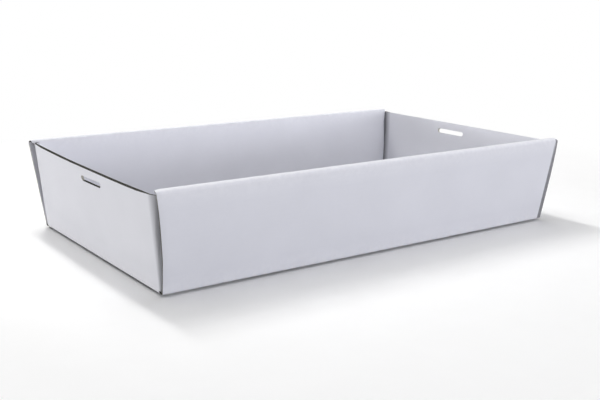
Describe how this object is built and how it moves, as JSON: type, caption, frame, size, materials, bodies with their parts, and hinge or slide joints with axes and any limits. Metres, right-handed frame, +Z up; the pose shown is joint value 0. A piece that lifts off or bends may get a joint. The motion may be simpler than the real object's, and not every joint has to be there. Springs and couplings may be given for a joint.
{
  "type": "cardboard tray box",
  "caption": "Shallow white corrugated tray box folded from one sheet, with splayed walls, rolled double-layer rims on the long sides and a slot in each end wall.",
  "frame": {"origin": "middle of the base's underside", "axes": "+X along the long walls, +Y across them to the back wall, +Z up"},
  "size_m": [0.4304, 0.2584, 0.081],
  "materials": {
    "white_board": "matt white paper liner over grey fluting, bare fluting at the cut edges"
  },
  "bodies": {
    "root": {"folded_tray": "white_board"}
  },
  "joints": []
}
